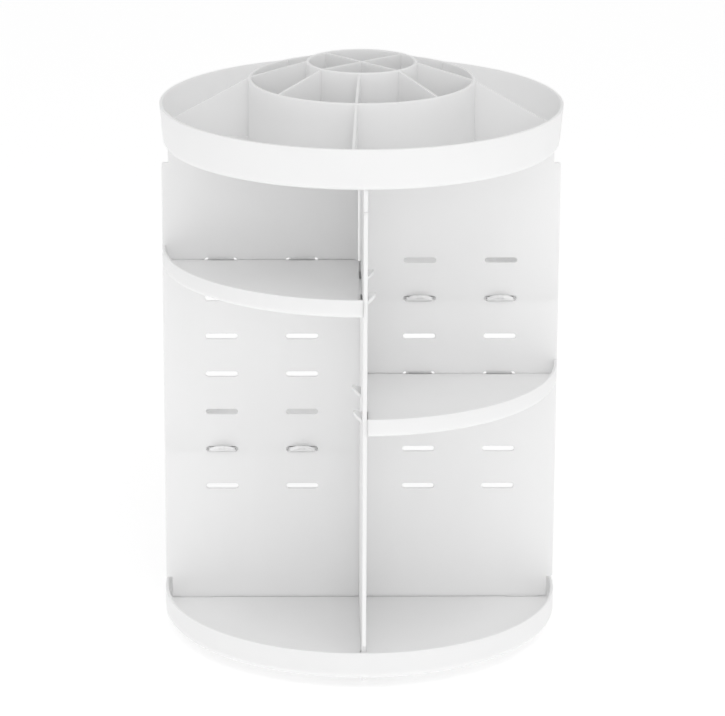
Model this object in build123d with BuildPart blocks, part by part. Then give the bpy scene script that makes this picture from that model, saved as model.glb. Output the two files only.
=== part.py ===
"""Rotating tool storage caddy: a turntable base, two crossed panels with hook-in shelf trays, a top tray.

Millimetres. The origin is where the turning axis meets the table. +Z is up and -Y is the front, where
the edge of the deep panel points. Each moulding is a separate piece.
"""
from build123d import *
import os

# ---------------------------------------------------------------- driving dimensions
# overall
caddy_radius = 112.5            # outside of the top tray's rim, the widest piece
floor_height = 14.0             # table to the floor of the base tray
tower_height = 271.0            # base floor to the underside of the top tray
base_setback = 0.5              # top tray's rim to the base tray's rim
panel_setback = 0.8             # top tray's rim to the long edge of a cross panel
shelf_setback = 1.0             # top tray's rim to a shelf tray's rim

# base tray
base_floor_thickness = 2.4
base_rim_height = 8.5           # above the floor
base_wall = 1.8
base_skirt_lift = 7.0           # table to the lower edge of the skirt
base_corner_radius = 4.0        # rounded lower edge

# cross panels
panel_thickness = 2.2
lap_clearance = 1.4             # play of one panel in the other one's lap slot
lap_height = 180.0              # base floor to where the two panels meet in the cross lap
panel_end_clearance = 2.1       # a panel's narrower end to the inside of the base tray's rim
corner_notch_height = 12.2      # step in both corners of each panel end
corner_radius = 1.5
foot_tab_width = 18.0           # tab through the base floor
foot_tab_inset = 17.5           # base tray's rim to the middle of the tab
foot_tab_drop = 11.5            # below the base floor
foot_tab_clearance = 0.5        # all round, in the floor slot
foot_tab_radius = 3.0           # rounded end of the tab

# slots for the shelf trays
slot_width = 18.2
slot_height = 3.0
slot_places = (33.2, 78.9)      # turning axis to the middle of each slot column
slot_rows = 7
slot_pitch = 22.4
top_slot_drop = 68.8            # underside of the top tray to the middle of the highest row

# shelf trays
shelf_floor = 2.0
shelf_rim_height = 10.1
shelf_wall = 1.7
shelf_corner_radius = 2.5       # rounded lower edge of the round wall
shelf_inner_chamfer = 2.5       # at the corner beside the turning axis
hook_side_clearance = 1.6       # each side, in the slot
hook_reach = 4.6                # beyond the far face of the panel
hook_rise = 3.0
hook_gap = 0.2                  # panel face to where the hook turns up

# top tray
ring_wall = 1.8
top_wall_height = 23.0
top_wall_draft = 2.1            # how much narrower the outer wall is at its foot
top_corner_radius = 3.0
top_floor = 2.0
middle_ring_radius = 63.0       # outside of the ring
middle_ring_height = 36.3       # above the underside of the tray
inner_ring_radius = 30.9
inner_ring_height = 45.8
outer_divider_drop = 13.6       # top of an outer divider's low end, below the outer rim
divider_thickness = 1.5
divider_sink = 0.4              # divider tops below the rim they run from
outer_dividers = 4
middle_dividers = 8
inner_dividers = 4
top_tray_turn = -3.6            # degrees, how the loose top tray sits on the tower
locating_rib_inset = 22.5       # top tray's rim to the middle of the rib
locating_rib_thickness = 2.0
locating_rib_height = 4.0
locating_rib_clearance = 0.5

# turntable
foot_side_clearance = 11.5      # foot plate to the tabs that pass it
foot_thickness = 2.4
foot_lift = 1.0                 # table to the underside of the foot plate
foot_rim_height = 1.2
foot_rim_width = 2.0
foot_edge_chamfer = 0.4
pad_radius = 7.0
pad_thickness = 1.6
pad_inset = 14.0                # foot plate's edge to the middle of each rubber pad
pad_count = 4
pad_side_clearance = 0.3
pad_chamfer = 0.3
ball_diameter = 5.0
ball_count = 12
race_inset = 22.0               # foot plate's edge to the middle of the race
race_clearance = 0.15           # ball to each groove
race_groove_depth = 1.0
race_rib_width = 9.0
cage_width = 10.0
cage_thickness = 1.6
ball_pocket_clearance = 0.2

# pivot
boss_radius = 7.0
boss_bore_clearance = 0.08
hub_radius = 13.5
hub_web = 2.0
washer_radius = 10.0
washer_thickness = 1.0
washer_hole_radius = 2.0
washer_recess_clearance = 1.5
end_play = 0.2
screw_radius = 1.5
screw_hole_clearance = 0.05
screw_length = 8.0
screw_head_radius = 3.5
screw_head_height = 1.8
screw_rounding = 0.6            # round the head, and the chamfer at the tip
screw_recess_width = 0.9
screw_recess_length = 4.2
screw_recess_depth = 1.0
rim_round = 0.55                # rounding of every thin rim

# ---------------------------------------------------------------- worked-out places
base_radius = caddy_radius - base_setback
panel_half_width = caddy_radius - panel_setback
shelf_radius = caddy_radius - shelf_setback
panel_end_half_width = base_radius - base_wall - panel_end_clearance
foot_tab_place = base_radius - foot_tab_inset
locating_rib_radius = caddy_radius - locating_rib_inset
foot_radius = foot_tab_place - foot_tab_width / 2 - foot_side_clearance
pad_places = foot_radius - pad_inset
race_radius = foot_radius - race_inset
hook_width = slot_width - 2 * hook_side_clearance
deep_panel_x = lap_clearance / 2

# ---------------------------------------------------------------- worked-out heights
base_underside = floor_height - base_floor_thickness
base_rim_top = floor_height + base_rim_height
top_underside = floor_height + tower_height
outer_rim_top = top_underside + top_wall_height
middle_rim_top = top_underside + middle_ring_height
inner_rim_top = top_underside + inner_ring_height
top_slot_height = top_underside - top_slot_drop
lap_level = floor_height + lap_height
foot_top = foot_lift + foot_thickness
ball_radius = ball_diameter / 2
ball_centre = foot_top - race_groove_depth + race_clearance + ball_radius
race_rib_bottom = ball_centre + ball_radius + race_clearance - race_groove_depth
hub_web_bottom = foot_top
hub_top = hub_web_bottom + hub_web
boss_bottom = hub_web_bottom - end_play
washer_bottom = boss_bottom - washer_thickness
groove_radius = ball_radius + race_clearance

os.makedirs("parts", exist_ok=True)


def row_height(row):
    """Middle of a slot row, counted from 1 at the top."""
    return top_slot_height - (row - 1) * slot_pitch


def write(piece, label):
    """Label a finished piece and write its STEP file."""
    piece.part.label = label
    export_step(piece.part, f"parts/{label}.step")


def rounded_rim(outside, inside, top):
    """The rounded top of a thin wall in a radius and height outline, from its outside to its inside."""
    TangentArc((outside, top - rim_round), (outside - rim_round, top), tangent=(0, 1))
    Line((outside - rim_round, top), (inside + rim_round, top))
    TangentArc((inside + rim_round, top), (inside, top - rim_round), tangent=(-1, 0))


def radial_plane(angle):
    """The upright plane through the turning axis whose X runs outwards at this angle."""
    outwards = Vector(1, 0, 0).rotate(Axis.Z, angle)
    sideways = Vector(0, -1, 0).rotate(Axis.Z, angle)
    return Plane(origin=(0, 0, 0), x_dir=outwards, z_dir=sideways)


# ---------------------------------------------------------------- turntable foot
with BuildPart() as foot_plate:
    bore = boss_radius + boss_bore_clearance
    recess = washer_radius + washer_recess_clearance
    with BuildSketch(Plane.XZ):
        with BuildLine():
            Polyline(
                (bore, hub_web_bottom), (bore, hub_top), (hub_radius, hub_top), (hub_radius, foot_top),
                (foot_radius - foot_rim_width, foot_top),
                (foot_radius - foot_rim_width, foot_top + foot_rim_height),
                (foot_radius, foot_top + foot_rim_height), (foot_radius, foot_lift),
                (recess, foot_lift), (recess, hub_web_bottom), close=True)
        make_face()
        with Locations((race_radius, ball_centre)):
            Circle(groove_radius, mode=Mode.SUBTRACT)
    revolve(axis=Axis.Z)
    with BuildSketch(Plane.XY.offset(foot_lift)):
        with PolarLocations(pad_places, pad_count, start_angle=180 / pad_count):
            Circle(pad_radius + pad_side_clearance)
    extrude(amount=pad_thickness - foot_lift, mode=Mode.SUBTRACT)
    outer_edges = foot_plate.edges().filter_by(GeomType.CIRCLE).group_by(SortBy.RADIUS)[-1]
    chamfer(outer_edges, foot_edge_chamfer)
write(foot_plate, "foot_plate")

pad_ring = PolarLocations(pad_places, pad_count, start_angle=180 / pad_count)
for pad_number, pad_location in enumerate(pad_ring):
    with BuildPart(Plane(pad_location)) as rubber_pad:
        Cylinder(pad_radius, pad_thickness, align=(Align.CENTER, Align.CENTER, Align.MIN))
        chamfer(rubber_pad.faces().sort_by(Axis.Z)[0].edges(), pad_chamfer)
    write(rubber_pad, f"rubber_pad_{pad_number + 1}")

# ---------------------------------------------------------------- ball bearing of the turntable
with BuildPart() as ball_cage:
    with BuildSketch(Plane.XY.offset(ball_centre - cage_thickness / 2)):
        Circle(race_radius + cage_width / 2)
        Circle(race_radius - cage_width / 2, mode=Mode.SUBTRACT)
        with PolarLocations(race_radius, ball_count):
            Circle(ball_radius + ball_pocket_clearance, mode=Mode.SUBTRACT)
    extrude(amount=cage_thickness)
write(ball_cage, "ball_cage")

for ball_number, ball_location in enumerate(PolarLocations(race_radius, ball_count)):
    with BuildPart(Plane(ball_location).offset(ball_centre)) as bearing_ball:
        Sphere(ball_radius)
    write(bearing_ball, f"bearing_ball_{ball_number + 1:02d}")

# ---------------------------------------------------------------- base tray
skirt_radius = base_radius - base_corner_radius
with BuildPart() as base_tray:
    with BuildSketch(Plane.XZ):
        with BuildLine():
            Polyline(
                (0, floor_height), (0, base_underside), (skirt_radius - base_wall, base_underside),
                (skirt_radius - base_wall, base_skirt_lift), (skirt_radius, base_skirt_lift))
            TangentArc((skirt_radius, base_skirt_lift), (base_radius, base_skirt_lift + base_corner_radius),
                       tangent=(1, 0))
            Line((base_radius, base_skirt_lift + base_corner_radius),
                 (base_radius, base_rim_top - rim_round))
            rounded_rim(base_radius, base_radius - base_wall, base_rim_top)
            Polyline((base_radius - base_wall, base_rim_top - rim_round),
                     (base_radius - base_wall, floor_height), (0, floor_height))
        make_face()
        with Locations((race_radius, race_rib_bottom)):
            Rectangle(race_rib_width, base_underside - race_rib_bottom, align=(Align.CENTER, Align.MIN))
        with Locations((race_radius, ball_centre)):
            Circle(groove_radius, mode=Mode.SUBTRACT)
    revolve(axis=Axis.Z)
    with Locations((0, 0, boss_bottom)):
        Cylinder(boss_radius, base_underside - boss_bottom, align=(Align.CENTER, Align.CENTER, Align.MIN))
        Cylinder(screw_radius + screw_hole_clearance, screw_length, mode=Mode.SUBTRACT,
                 align=(Align.CENTER, Align.CENTER, Align.MIN))
    tab_slot_length = foot_tab_width + 2 * foot_tab_clearance
    tab_slot_width = panel_thickness + 2 * foot_tab_clearance
    with BuildSketch(Plane.XY.offset(base_underside)):
        with Locations((-foot_tab_place, 0), (foot_tab_place, 0)):
            Rectangle(tab_slot_length, tab_slot_width)
        with Locations((deep_panel_x, -foot_tab_place), (deep_panel_x, foot_tab_place)):
            Rectangle(tab_slot_width, tab_slot_length)
    extrude(amount=base_floor_thickness, mode=Mode.SUBTRACT)
write(base_tray, "base_tray")

# ---------------------------------------------------------------- pivot screw and washer
with BuildPart() as pivot_washer:
    with BuildSketch(Plane.XY.offset(washer_bottom)):
        Circle(washer_radius)
        Circle(washer_hole_radius, mode=Mode.SUBTRACT)
    extrude(amount=washer_thickness)
write(pivot_washer, "pivot_washer")

with BuildPart() as pivot_screw:
    with Locations((0, 0, washer_bottom)):
        Cylinder(screw_radius, screw_length, align=(Align.CENTER, Align.CENTER, Align.MIN))
        Cylinder(screw_head_radius, screw_head_height, align=(Align.CENTER, Align.CENTER, Align.MAX))
    fillet(pivot_screw.faces().sort_by(Axis.Z)[0].edges(), screw_rounding)
    chamfer(pivot_screw.faces().sort_by(Axis.Z)[-1].edges(), screw_rounding)
    with BuildSketch(Plane.XY.offset(washer_bottom - screw_head_height)):
        Rectangle(screw_recess_length, screw_recess_width)
        Rectangle(screw_recess_width, screw_recess_length)
    extrude(amount=screw_recess_depth, mode=Mode.SUBTRACT)
write(pivot_screw, "pivot_screw")

# ---------------------------------------------------------------- crossed panels


def draw_panel():
    """The outline of one panel, with the turning axis at X 0 and height along Y."""
    with Locations((0, floor_height)):
        Rectangle(2 * panel_end_half_width, tower_height, align=(Align.CENTER, Align.MIN))
    with Locations((0, floor_height + corner_notch_height)):
        Rectangle(2 * panel_half_width, tower_height - 2 * corner_notch_height,
                  align=(Align.CENTER, Align.MIN))
    with Locations((-foot_tab_place, floor_height), (foot_tab_place, floor_height)):
        Rectangle(foot_tab_width, foot_tab_drop, align=(Align.CENTER, Align.MAX))


def round_panel(outline):
    """Round the long edges' corners and the ends of the tabs."""
    by_side = outline.vertices().group_by(Axis.X)
    fillet(by_side[0] + by_side[-1], corner_radius)
    fillet(outline.vertices().group_by(Axis.Y)[0], foot_tab_radius)


def cut_panel(lap_low, lap_high):
    """Cut the slots for the shelf hooks, the notches for the locating rib and the lap slot."""
    columns = [side * place for side in (-1, 1) for place in slot_places]
    with Locations(*[(x, row_height(row)) for x in columns for row in range(1, slot_rows + 1)]):
        SlotOverall(slot_width, slot_height, mode=Mode.SUBTRACT)
    with Locations((-locating_rib_radius, top_underside), (locating_rib_radius, top_underside)):
        Rectangle(locating_rib_thickness + 2 * locating_rib_clearance,
                  locating_rib_height + locating_rib_clearance,
                  align=(Align.CENTER, Align.MAX), mode=Mode.SUBTRACT)
    with Locations((0, lap_low)):
        Rectangle(panel_thickness + lap_clearance, lap_high - lap_low,
                  align=(Align.CENTER, Align.MIN), mode=Mode.SUBTRACT)


with BuildPart() as wide_panel:
    with BuildSketch(Plane.XZ) as wide_outline:
        draw_panel()
        round_panel(wide_outline)
        cut_panel(lap_level, top_underside)
    extrude(amount=panel_thickness / 2, both=True)
write(wide_panel, "wide_panel")

with BuildPart() as deep_panel:
    with BuildSketch(Plane.YZ.offset(deep_panel_x)) as deep_outline:
        draw_panel()
        round_panel(deep_outline)
        cut_panel(floor_height, lap_level)
    extrude(amount=panel_thickness / 2, both=True)
write(deep_panel, "deep_panel")

# ---------------------------------------------------------------- shelf trays
# One hook, with the edge of its shelf at the origin and its tongue running out along +X. Its underside
# rests on the lower edge of a slot. Beyond the panel it is a half moon that turns up.
hook_root = 1.0                 # buried in the shelf's floor
hook_bend = panel_thickness + hook_gap
hook_tip = hook_bend + hook_reach
with BuildPart() as hook:
    with BuildSketch(Plane.XZ):
        with BuildLine():
            Polyline(
                (-hook_root, 0), (hook_bend, 0), (hook_tip, hook_rise), (hook_tip, hook_rise + shelf_floor),
                (hook_bend, shelf_floor), (-hook_root, shelf_floor), close=True)
        make_face()
    extrude(amount=hook_width / 2, both=True)
    with BuildSketch():
        with BuildLine():
            Polyline((hook_bend, -hook_width / 2), (-hook_root, -hook_width / 2),
                     (-hook_root, hook_width / 2), (hook_bend, hook_width / 2))
            ThreePointArc((hook_bend, hook_width / 2), (hook_tip, 0), (hook_bend, -hook_width / 2))
        make_face()
    extrude(amount=hook_rise + shelf_floor, mode=Mode.INTERSECT)

# name: side of the wide panel's middle, side of the deep panel's middle, slot row
shelves = {
    "shelf_tray_front_left": (-1, -1, 1),
    "shelf_tray_front_right": (1, -1, 4),
    "shelf_tray_back_left": (-1, 1, 6),
    "shelf_tray_back_right": (1, 1, 2),
}
for shelf_name, (x_side, y_side, row) in shelves.items():
    underside = row_height(row) - slot_height / 2
    edge_x = deep_panel_x + x_side * panel_thickness / 2
    edge_y = y_side * panel_thickness / 2
    inner_wall = shelf_radius - shelf_wall
    with BuildPart() as shelf_tray:
        with BuildSketch(Plane.XZ):
            with BuildLine():
                Polyline((0, underside + shelf_floor), (0, underside),
                         (shelf_radius - shelf_corner_radius, underside))
                TangentArc((shelf_radius - shelf_corner_radius, underside),
                           (shelf_radius, underside + shelf_corner_radius), tangent=(1, 0))
                Line((shelf_radius, underside + shelf_corner_radius),
                     (shelf_radius, underside + shelf_rim_height - rim_round))
                rounded_rim(shelf_radius, inner_wall, underside + shelf_rim_height)
                Polyline((inner_wall, underside + shelf_rim_height - rim_round),
                         (inner_wall, underside + shelf_floor), (0, underside + shelf_floor))
            make_face()
        revolve(axis=Axis.Z)
        with BuildSketch(Plane.XY.offset(underside)):
            far = 2 * shelf_radius
            Polygon((edge_x + x_side * shelf_inner_chamfer, edge_y), (x_side * far, edge_y),
                    (x_side * far, y_side * far), (edge_x, y_side * far),
                    (edge_x, edge_y + y_side * shelf_inner_chamfer), align=None)
        extrude(amount=shelf_rim_height, mode=Mode.INTERSECT)
        for place in slot_places:
            with Locations(Location((x_side * place, edge_y, underside), (0, 0, -90 * y_side)),
                           Location((edge_x, y_side * place, underside), (0, 0, 90 + 90 * x_side))):
                add(hook.part)
    write(shelf_tray, shelf_name)

# ---------------------------------------------------------------- top tray


def draw_ring_wall(outside, top):
    """The section of an upright ring wall that stands on the tray's floor."""
    inside = outside - ring_wall
    with BuildLine() as section:
        Polyline((inside, top - rim_round), (inside, top_underside), (outside, top_underside),
                 (outside, top - rim_round))
        rounded_rim(outside, inside, top)
    make_face(section.edges())


def add_divider(angle, inner_radius, inner_top, outer_radius, outer_top):
    """A thin radial wall whose upper edge slopes from one ring wall to the next."""
    with BuildSketch(radial_plane(angle)) as section:
        Polygon((inner_radius, top_underside), (outer_radius, top_underside),
                (outer_radius, outer_top), (inner_radius, inner_top), align=None)
    extrude(section.sketch, amount=divider_thickness / 2, both=True)


wall_foot = caddy_radius - top_wall_draft
rim_inside = caddy_radius - ring_wall
with BuildPart() as top_tray:
    with BuildSketch(Plane.XZ):
        with BuildLine():
            Polyline((0, top_underside + top_floor), (0, top_underside),
                     (wall_foot - top_corner_radius, top_underside))
            TangentArc((wall_foot - top_corner_radius, top_underside),
                       (wall_foot, top_underside + top_corner_radius), tangent=(1, 0))
            Line((wall_foot, top_underside + top_corner_radius), (caddy_radius, outer_rim_top - rim_round))
            rounded_rim(caddy_radius, rim_inside, outer_rim_top)
            Polyline((rim_inside, outer_rim_top - rim_round),
                     (wall_foot - ring_wall, top_underside + top_floor),
                     (0, top_underside + top_floor))
        make_face()
        draw_ring_wall(middle_ring_radius, middle_rim_top)
        draw_ring_wall(inner_ring_radius, inner_rim_top)
        with Locations((locating_rib_radius, top_underside)):
            Rectangle(locating_rib_thickness, locating_rib_height, align=(Align.CENTER, Align.MAX))
    revolve(axis=Axis.Z)
    for number in range(inner_dividers):
        angle = top_tray_turn + (number + 0.5) * 360 / inner_dividers
        add_divider(angle, 0, inner_rim_top - divider_sink,
                    inner_ring_radius - ring_wall / 2, inner_rim_top - divider_sink)
    for number in range(middle_dividers):
        angle = top_tray_turn + number * 360 / middle_dividers
        add_divider(angle, inner_ring_radius - ring_wall / 2, inner_rim_top - divider_sink,
                    middle_ring_radius - ring_wall / 2, middle_rim_top - divider_sink)
    for number in range(outer_dividers):
        angle = top_tray_turn + number * 360 / outer_dividers
        add_divider(angle, middle_ring_radius - ring_wall / 2, middle_rim_top - divider_sink,
                    wall_foot - ring_wall / 2, outer_rim_top - outer_divider_drop)
write(top_tray, "top_tray")
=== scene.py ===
"""Looks of a rotating tool storage caddy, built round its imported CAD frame.

Metres. The turning axis meets the table at the origin, +Z is up and -Y is the front.
"""
import math

import bmesh
import bpy
from bpy.props import FloatProperty, FloatVectorProperty, IntProperty, PointerProperty
from mathutils import Matrix, Vector


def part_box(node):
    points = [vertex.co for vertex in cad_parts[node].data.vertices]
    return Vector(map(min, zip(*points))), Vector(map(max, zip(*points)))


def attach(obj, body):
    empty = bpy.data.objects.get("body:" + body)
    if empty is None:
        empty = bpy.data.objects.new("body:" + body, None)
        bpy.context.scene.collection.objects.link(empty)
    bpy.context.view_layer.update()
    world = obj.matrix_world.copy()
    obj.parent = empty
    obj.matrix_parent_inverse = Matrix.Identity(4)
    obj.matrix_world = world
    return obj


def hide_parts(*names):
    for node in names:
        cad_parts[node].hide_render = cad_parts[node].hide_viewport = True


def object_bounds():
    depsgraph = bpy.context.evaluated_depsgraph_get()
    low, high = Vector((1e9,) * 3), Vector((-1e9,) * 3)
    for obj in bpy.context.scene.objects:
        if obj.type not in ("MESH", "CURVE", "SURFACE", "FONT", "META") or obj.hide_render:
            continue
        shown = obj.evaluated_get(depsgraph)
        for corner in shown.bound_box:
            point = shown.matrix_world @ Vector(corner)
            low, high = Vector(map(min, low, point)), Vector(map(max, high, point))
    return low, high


bl_info = {
    "name": "Tool Storage Caddy",
    "version": (1, 0, 0),
    "blender": (4, 5, 0),
    "location": "View3D > Sidebar > Caddy",
    "description": "Builds the trays, panels and turntable of a rotating tool storage caddy",
    "category": "Add Mesh",
}

MM = 0.001
WELD = 0.002 * MM                       # points closer than this are one point
FLAT_ANGLE = math.radians(0.4)          # triangles that lean less than this are one face
ROUNDED_ANGLE = math.radians(38.0)      # edges sharper than this are rounded
SHARP_ANGLE = math.radians(32.0)        # edges sharper than this stay sharp in the shading
QUARTER = math.pi / 2
EVEN = (1.0, 1.0, 1.0)                  # a pattern that isn't stretched
PIN_RADIUS = 3.0 * MM                   # an ejector mark and the width of its line
PIN_LINE = 0.25 * MM
FLOOR_RADIUS = 9.0
SOFT_BOX_SIZE = 1.3
SOFT_BOX_PLACES = {
    "left_light": (-1.2, -2.0, 0.75),
    "right_light": (1.3, -1.9, 0.75),
    "front_light": (0.0, -3.0, 1.05),
    "upper_light": (0.2, -1.3, 1.9),
}

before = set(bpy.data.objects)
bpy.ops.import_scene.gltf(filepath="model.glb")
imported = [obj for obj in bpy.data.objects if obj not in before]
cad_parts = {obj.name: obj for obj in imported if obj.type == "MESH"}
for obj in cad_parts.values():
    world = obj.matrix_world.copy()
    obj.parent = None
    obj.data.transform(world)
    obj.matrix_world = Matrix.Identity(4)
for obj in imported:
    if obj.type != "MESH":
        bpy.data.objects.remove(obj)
frame_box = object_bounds()


def low(node):
    """The lowest corner of a CAD node."""
    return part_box(node)[0]


def high(node):
    """The highest corner of a CAD node."""
    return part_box(node)[1]


# ------------------------------------------------------------------------------- node trees


class Signal:
    """One socket in a node tree. Arithmetic on it adds Math nodes to the tree."""

    def __init__(self, graph, socket):
        self.graph = graph
        self.socket = socket

    def output(self, key):
        """Another output of the same node."""
        return Signal(self.graph, find_socket(self.socket.node.outputs, key))

    def __add__(self, other):
        return self.graph.maths("ADD", self, other)

    __radd__ = __add__

    def __sub__(self, other):
        return self.graph.maths("SUBTRACT", self, other)

    def __rsub__(self, other):
        return self.graph.maths("SUBTRACT", other, self)

    def __mul__(self, other):
        return self.graph.maths("MULTIPLY", self, other)

    __rmul__ = __mul__

    def __truediv__(self, other):
        return self.graph.maths("DIVIDE", self, other)

    def __rtruediv__(self, other):
        return self.graph.maths("DIVIDE", other, self)

    def __neg__(self):
        return self.graph.maths("MULTIPLY", self, -1.0)

    def __gt__(self, other):
        return self.graph.maths("GREATER_THAN", self, other)

    def __lt__(self, other):
        return self.graph.maths("LESS_THAN", self, other)


def find_socket(sockets, key):
    """A socket by its number, its identifier or its name."""
    if isinstance(key, int):
        return sockets[key]
    for socket in sockets:
        if socket.identifier == key:
            return socket
    return next(socket for socket in sockets if socket.name == key and socket.enabled)


class Graph:
    """A shader or geometry node tree, filled by one method."""

    def __init__(self, tree):
        self.tree = tree
        self.tree.nodes.clear()

    def node(self, kind, settings=None, values=None, output=0):
        """Add a node: its settings, then a value or a link for each of its sockets."""
        made = self.tree.nodes.new(kind)
        made.location = (200 * (len(self.tree.nodes) % 12), -260 * (len(self.tree.nodes) // 12))
        for name, setting in (settings or {}).items():
            if name == "stops":
                self.set_stops(made.color_ramp, setting)
            else:
                setattr(made, name, setting)
        for key, value in (values or {}).items():
            socket = find_socket(made.inputs, key)
            for one in value if isinstance(value, list) else [value]:
                if isinstance(one, Signal):
                    self.tree.links.new(one.socket, socket)
                else:
                    socket.default_value = one
        return Signal(self, made.outputs[output]) if made.outputs else made

    def set_stops(self, ramp, stops):
        """Give a colour ramp its (place, grey value) stops."""
        while len(ramp.elements) < len(stops):
            ramp.elements.new(1.0)
        for element, (place, grey) in zip(ramp.elements, stops):
            element.position = place
            element.color = (grey, grey, grey, 1.0)

    def maths(self, operation, *terms):
        """A Math node on signals and numbers."""
        return self.node("ShaderNodeMath", {"operation": operation}, dict(enumerate(terms)))

    def mix_colour(self, factor, first, second):
        """A blend of two colours."""
        values = {"Factor_Float": factor, "A_Color": first, "B_Color": second}
        return self.node("ShaderNodeMix", {"data_type": "RGBA"}, values, 2)

    def split(self, vector):
        """The X, Y and Z of a vector."""
        parts = self.node("ShaderNodeSeparateXYZ", None, {"Vector": vector})
        return parts, parts.output("Y"), parts.output("Z")

    def join(self, x, y, z):
        """A vector from its X, Y and Z."""
        return self.node("ShaderNodeCombineXYZ", None, {"X": x, "Y": y, "Z": z})


# ------------------------------------------------------------------------------- materials


def new_material(name):
    """An empty procedural material and its graph."""
    material = bpy.data.materials.new(name)
    material.use_nodes = True
    return material, Graph(material.node_tree)


def finish_material(graph, values):
    """End a material's graph in a Principled BSDF with these socket values."""
    shader = graph.node("ShaderNodeBsdfPrincipled", None, values)
    graph.node("ShaderNodeOutputMaterial", None, {"Surface": shader})


def object_position(graph, scale=(1.0, 1.0, 1.0)):
    """Object coordinates, stretched by a scale."""
    place = graph.node("ShaderNodeTexCoord", output="Object")
    return graph.node("ShaderNodeMapping", None, {"Vector": place, "Scale": scale})


def noise(graph, place, scale, detail=2.0):
    """A noise from 0 to 1 with cells of 1 / scale metres."""
    values = {"Vector": place, "Scale": scale, "Detail": detail, "Roughness": 0.55}
    return graph.node("ShaderNodeTexNoise", None, values, "Fac")


def ramp(graph, value, *stops):
    """A value sent through (place, value) stops."""
    return graph.node("ShaderNodeValToRGB", {"stops": stops}, {"Fac": value})


def bump(graph, height, depth):
    """A normal from a height of 0 to 1 that stands for this depth in metres."""
    values = {"Height": height, "Distance": depth, "Strength": 1.0}
    return graph.node("ShaderNodeBump", None, values)


def shade(colour, share):
    """A colour made darker by a share."""
    return (*(channel * (1.0 - share) for channel in colour), 1.0)


def clouded(graph, mask, colour, darker):
    """A colour that is darker by a share where the mask is 0."""
    return graph.mix_colour(mask, shade(colour, darker), shade(colour, 0.0))


def radius_from_axis(graph, x, y):
    """The distance from the turning axis."""
    return graph.maths("SQRT", x * x + y * y)


def moulded_plastic(name, finish, stretch, marks=None):
    """White moulded plastic: soft flow clouds, a spark-eroded grain and faint ejector marks."""
    material, graph = new_material(name)
    place = object_position(graph)
    flow = noise(graph, object_position(graph, stretch), finish.flow_scale, 3.0)
    grain = noise(graph, place, 1.0 / finish.grain_size, 2.0)
    rub = noise(graph, object_position(graph, (1.0, 1.0, 0.15)), 420.0, 4.0)
    cloud = ramp(graph, flow, (0.3, 0.0), (0.72, 1.0))
    colour = clouded(graph, cloud, finish.colour, finish.cloudiness)
    roughness = finish.roughness + (flow - 0.5) * 0.10 + (rub - 0.5) * 0.08
    height = grain * finish.grain_depth + (rub - 0.5) * (finish.grain_depth * 0.6)
    if marks:
        height = height - ejector_marks(graph, place, *marks) * finish.mark_depth
    finish_material(graph, {
        "Base Color": colour,
        "Roughness": roughness,
        "IOR": 1.49,
        "Specular IOR Level": 0.42,
        "Subsurface Weight": finish.translucency,
        "Subsurface Radius": (1.0, 1.0, 1.0),
        "Subsurface Scale": finish.scatter,
        "Normal": bump(graph, height / finish.mark_depth, finish.mark_depth),
    })
    return material


def ejector_marks(graph, place, count, ring_radius):
    """1 on the rims of the round marks that ejector pins leave on the faces that look down."""
    x, y, _ = graph.split(place)
    radius = radius_from_axis(graph, x, y)
    sector = math.tau / count
    angle = graph.maths("ARCTAN2", y, x)
    turned = graph.maths("WRAP", angle, sector / 2, -sector / 2)
    along = radius * graph.maths("COSINE", turned) - ring_radius
    across = radius * graph.maths("SINE", turned)
    line = graph.maths("COMPARE", radius_from_axis(graph, along, across), PIN_RADIUS, PIN_LINE)
    facing = graph.split(graph.node("ShaderNodeNewGeometry", output="Normal"))[2]
    return line * (facing < -0.9)


def natural_plastic(name, finish):
    """Unpigmented nylon: milky, a little warm and waxy."""
    material, graph = new_material(name)
    place = object_position(graph)
    milk = noise(graph, place, 160.0, 3.0)
    colour = clouded(graph, milk, finish.natural_colour, 0.10)
    finish_material(graph, {
        "Base Color": colour,
        "Roughness": 0.36 + (milk - 0.5) * 0.16,
        "IOR": 1.53,
        "Normal": bump(graph, noise(graph, place, 2600.0), 0.01 * MM),
    })
    return material


def polished_steel(name, finish):
    """Ground and polished steel balls with faint lapping marks."""
    material, graph = new_material(name)
    place = object_position(graph)
    lap = noise(graph, object_position(graph, (1.0, 1.0, 6.0)), 900.0, 3.0)
    colour = clouded(graph, lap, finish.steel_colour, 0.08)
    finish_material(graph, {
        "Base Color": colour,
        "Metallic": 1.0,
        "Roughness": 0.10 + lap * 0.10,
        "Normal": bump(graph, noise(graph, place, 3500.0), 0.001 * MM),
    })
    return material


def zinc_plate(name, finish):
    """Bright zinc plating on turned and stamped steel: spangled, with concentric tool marks."""
    material, graph = new_material(name)
    place = object_position(graph)
    cells = {"Vector": place, "Scale": 900.0}
    spangle = graph.node("ShaderNodeTexVoronoi", {"feature": "F1"}, cells, "Color")
    spangle = graph.split(spangle)[0]
    x, y, _ = graph.split(place)
    radius = radius_from_axis(graph, x, y)
    turning = graph.maths("SINE", radius * (math.tau / (0.35 * MM)))
    cloud = noise(graph, place, 300.0, 3.0)
    colour = clouded(graph, cloud, finish.zinc_colour, 0.22)
    finish_material(graph, {
        "Base Color": colour,
        "Metallic": 1.0,
        "Roughness": 0.27 + spangle * 0.10 + cloud * 0.06,
        "Normal": bump(graph, turning * 0.5 + cloud * 0.5, 0.008 * MM),
    })
    return material


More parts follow.
